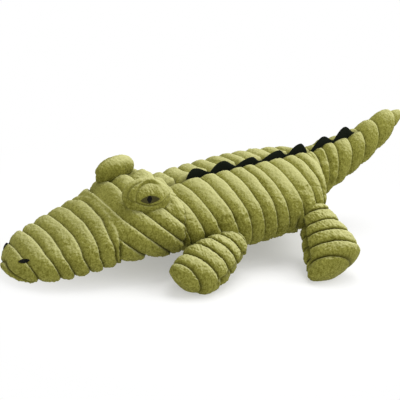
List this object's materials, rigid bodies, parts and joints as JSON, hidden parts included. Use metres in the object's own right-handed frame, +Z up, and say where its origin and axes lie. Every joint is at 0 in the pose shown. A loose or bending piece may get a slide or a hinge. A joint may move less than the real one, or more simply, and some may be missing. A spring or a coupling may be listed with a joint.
{
  "type": "plush dog toy",
  "caption": "Lying crocodile plush dog toy in ribbed olive plush, with padded eyes, felt scallops along its back and a squeaker inside.",
  "frame": {"origin": "on the floor, under the centre of the toy's box", "axes": "+X from the head towards the tail, +Y towards the toy's right side, +Z up from the floor it lies on"},
  "size_m": [0.502, 0.2884, 0.145],
  "materials": {
    "plush": "wide-wale ribbed plush pile",
    "filling": "polyester fibre filling",
    "felt": "cut felt",
    "thread": "satin stitch embroidery",
    "iris_thread": "satin stitch embroidery",
    "pouch_cloth": "woven lining",
    "bulb_vinyl": "soft vinyl",
    "reed_plastic": "moulded plastic"
  },
  "bodies": {
    "front_left_leg": {"front_left_leg_skin": "plush", "front_left_leg_stuffing": "filling"},
    "front_right_leg": {"front_right_leg_skin": "plush", "front_right_leg_stuffing": "filling"},
    "head": {"head_skin": "plush", "head_stuffing": "filling", "jaw_skin": "plush", "left_eye_mound": "plush", "left_eyelid": "plush", "left_iris": "iris_thread", "left_nostril": "thread", "left_pupil": "thread", "muzzle_skin": "plush", "right_eye_mound": "plush", "right_eyelid": "plush", "right_iris": "iris_thread", "right_nostril": "thread", "right_pupil": "thread"},
    "torso": {"neck_gusset": "plush", "squeaker_bulb": "bulb_vinyl", "squeaker_pouch": "pouch_cloth", "squeaker_reed": "reed_plastic", "torso_scallops": "felt", "torso_skin": "plush", "torso_stuffing_lower": "filling", "torso_stuffing_upper": "filling"},
    "rear_left_leg": {"rear_left_leg_skin": "plush", "rear_left_leg_stuffing": "filling"},
    "rear_right_leg": {"rear_right_leg_skin": "plush", "rear_right_leg_stuffing": "filling"},
    "tail": {"tail_scallops": "felt", "tail_skin": "plush", "tail_stuffing": "filling"}
  },
  "joints": [
    {"name": "neck_nod", "type": "hinge", "parent": "torso", "child": "head", "pos_m": [-0.055, 0, 0.04825], "axis": [0, 1, 0], "range_deg": [-10, 10], "stiffness_Nm_per_rad": 6},
    {"name": "tail_sweep", "type": "hinge", "parent": "torso", "child": "tail", "pos_m": [0.13744, 0, 0.06948], "axis": [0, 0, 1], "range_deg": [-15, 15], "stiffness_Nm_per_rad": 0.6},
    {"name": "front_left_leg_swing", "type": "hinge", "parent": "torso", "child": "front_left_leg", "pos_m": [-0.019, -0.076, 0.036], "axis": [0, 0, 1], "range_deg": [0, 30], "stiffness_Nm_per_rad": 0.3},
    {"name": "front_right_leg_swing", "type": "hinge", "parent": "torso", "child": "front_right_leg", "pos_m": [-0.019, 0.076, 0.036], "axis": [0, 0, -1], "range_deg": [0, 30], "stiffness_Nm_per_rad": 0.3},
    {"name": "rear_left_leg_swing", "type": "hinge", "parent": "torso", "child": "rear_left_leg", "pos_m": [0.096, -0.077, 0.049], "axis": [0, 0, 1], "range_deg": [-15, 15], "stiffness_Nm_per_rad": 0.4},
    {"name": "rear_right_leg_swing", "type": "hinge", "parent": "torso", "child": "rear_right_leg", "pos_m": [0.096, 0.077, 0.049], "axis": [0, 0, -1], "range_deg": [-15, 15], "stiffness_Nm_per_rad": 0.4}
  ]
}
